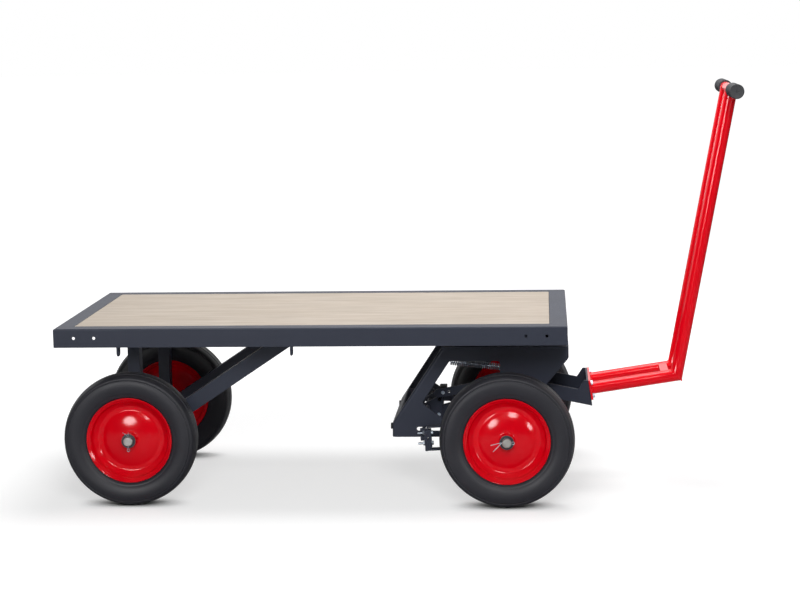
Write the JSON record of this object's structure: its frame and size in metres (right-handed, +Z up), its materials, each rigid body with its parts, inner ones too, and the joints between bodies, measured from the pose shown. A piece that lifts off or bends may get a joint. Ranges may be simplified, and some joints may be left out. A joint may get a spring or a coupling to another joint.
{
  "type": "turntable truck",
  "caption": "Four-wheeled hand truck with a boarded steel deck, a steering front bogie under a ball turntable, a bent twin-tube drawbar and a band brake.",
  "frame": {"origin": "on the floor under the middle of the whole truck, drawbar upright", "axes": "+X towards the drawbar, +Y to the truck's left, +Z up"},
  "size_m": [1.811, 0.7486, 1.095],
  "materials": {
    "dark_paint": "dark grey powder coat, satin",
    "red_paint": "red powder coat, gloss",
    "tyre_rubber": "matt black rubber over foam",
    "deck_plywood": "pale faced board, matt",
    "bright_zinc": "bright zinc plate",
    "black_bolts": "black oxide",
    "plain_steel": "turned steel, greased",
    "bearing_steel": "dark bearing steel",
    "grip_rubber": "matt black rubber"
  },
  "bodies": {
    "deck": {"side_rail_left": "dark_paint", "side_rail_right": "dark_paint", "end_rails": "dark_paint", "deck_board": "deck_plywood", "cross_members": "dark_paint", "lashing_eyes": "dark_paint", "rear_axle_beam": "dark_paint", "rear_posts": "dark_paint", "rear_braces": "dark_paint", "turntable_plate": "dark_paint", "turntable_upper_race": "plain_steel", "upper_race_bolts": "bright_zinc", "rear_axle": "plain_steel", "rear_axle_collars": "bright_zinc", "rear_split_pins": "bright_zinc"},
    "bogie": {"turntable_lower_race": "plain_steel", "turntable_balls": "plain_steel", "lower_race_bolts": "bright_zinc", "bogie_bracket": "dark_paint", "bogie_top_plate": "dark_paint", "foot_bolts": "black_bolts", "front_axle": "plain_steel", "front_axle_collars": "bright_zinc", "front_split_pins": "bright_zinc", "drawbar_shaft": "plain_steel", "panel_lugs": "dark_paint", "return_spring": "bright_zinc"},
    "drawbar": {"drawbar_fork": "dark_paint", "drawbar_pivot_tube": "dark_paint", "tail_arm": "dark_paint", "tail_buffer": "grip_rubber", "tail_bolt": "bright_zinc", "drawbar_flange": "red_paint", "flange_bolts": "bright_zinc", "drawbar_tubes": "red_paint", "drawbar_tie_bar": "red_paint", "handle_tube": "red_paint", "handle_grips": "grip_rubber"},
    "lever": {"brake_lever": "dark_paint", "brake_lever_pins": "bright_zinc"},
    "brake_slider": {"brake_bar": "dark_paint", "brake_bands": "dark_paint", "brake_clamps": "dark_paint", "brake_clamp_bolts": "bright_zinc"},
    "wheel_front_left": {"tyre_front_left": "tyre_rubber", "rim_front_left": "red_paint", "hub_front_left": "plain_steel", "bearings_front_left": "bearing_steel"},
    "wheel_front_right": {"tyre_front_right": "tyre_rubber", "rim_front_right": "red_paint", "hub_front_right": "plain_steel", "bearings_front_right": "bearing_steel"},
    "wheel_rear_left": {"tyre_rear_left": "tyre_rubber", "rim_rear_left": "red_paint", "hub_rear_left": "plain_steel", "bearings_rear_left": "bearing_steel"},
    "wheel_rear_right": {"tyre_rear_right": "tyre_rubber", "rim_rear_right": "red_paint", "hub_rear_right": "plain_steel", "bearings_rear_right": "bearing_steel"}
  },
  "joints": [
    {"name": "bogie_steer", "type": "hinge", "parent": "deck", "child": "bogie", "pos_m": [0.28451, 0, 0.413], "axis": [0, 0, 1], "range_deg": [-90, 90]},
    {"name": "drawbar_tilt", "type": "hinge", "parent": "bogie", "child": "drawbar", "pos_m": [0.29451, 0, 0.288], "axis": [0, 1, 0], "range_deg": [0, 28], "stiffness_Nm_per_rad": 30, "springref_deg": -80.21, "deforming": ["return_spring"]},
    {"name": "brake_lever_swing", "type": "hinge", "parent": "bogie", "child": "lever", "pos_m": [0.06151, 0, 0.214], "axis": [0, 1, 0], "range_deg": [-8.2, 0]},
    {"name": "brake_slide", "type": "slide", "parent": "bogie", "child": "brake_slider", "axis": [1, 0, 0], "range_m": [0, 0.0031]},
    {"name": "wheel_spin_front_left", "type": "hinge", "parent": "bogie", "child": "wheel_front_left", "pos_m": [0.28451, 0.324, 0.178], "axis": [0, 1, 0], "continuous": true},
    {"name": "wheel_spin_front_right", "type": "hinge", "parent": "bogie", "child": "wheel_front_right", "pos_m": [0.28451, -0.324, 0.178], "axis": [0, 1, 0], "continuous": true},
    {"name": "wheel_spin_rear_left", "type": "hinge", "parent": "deck", "child": "wheel_rear_left", "pos_m": [-0.71849, 0.293, 0.178], "axis": [0, 1, 0], "continuous": true},
    {"name": "wheel_spin_rear_right", "type": "hinge", "parent": "deck", "child": "wheel_rear_right", "pos_m": [-0.71849, -0.293, 0.178], "axis": [0, 1, 0], "continuous": true}
  ],
  "couplings": [
    {"joint": "brake_lever_swing", "follows": "drawbar_tilt", "ratio": -0.286},
    {"joint": "brake_slide", "follows": "drawbar_tilt", "m_per_rad": 0.00614}
  ]
}
